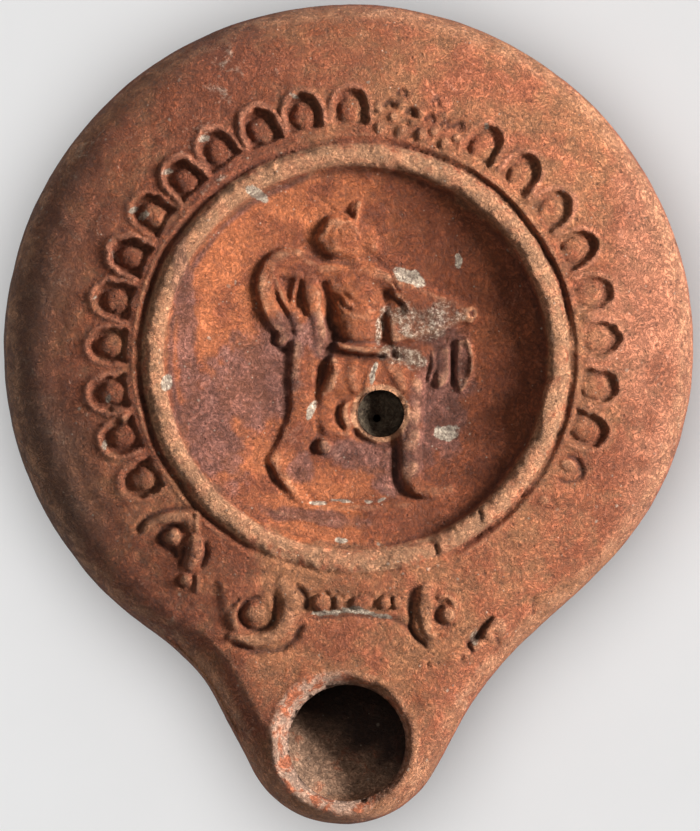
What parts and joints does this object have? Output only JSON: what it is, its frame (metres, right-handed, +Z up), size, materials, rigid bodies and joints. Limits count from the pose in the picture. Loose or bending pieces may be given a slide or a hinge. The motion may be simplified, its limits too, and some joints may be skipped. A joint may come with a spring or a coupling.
{
  "type": "roman oil lamp",
  "caption": "Mould-made terracotta oil lamp: round reservoir, sunk discus with a striding relief figure, ovolo shoulder, worn volutes and a short rounded nozzle with a wick hole.",
  "frame": {"origin": "centre of the flat base disc, on the axis of the round body", "axes": "+Z up, -Y towards the nozzle, +X to the right when the figure on the discus stands upright"},
  "size_m": [0.087, 0.1035, 0.026],
  "materials": {
    "fired_clay": "orange-red slip over buff fired clay, worn and matt, with grey-brown stains and lime specks"
  },
  "bodies": {
    "root": {"lamp_body": "fired_clay"}
  },
  "joints": []
}
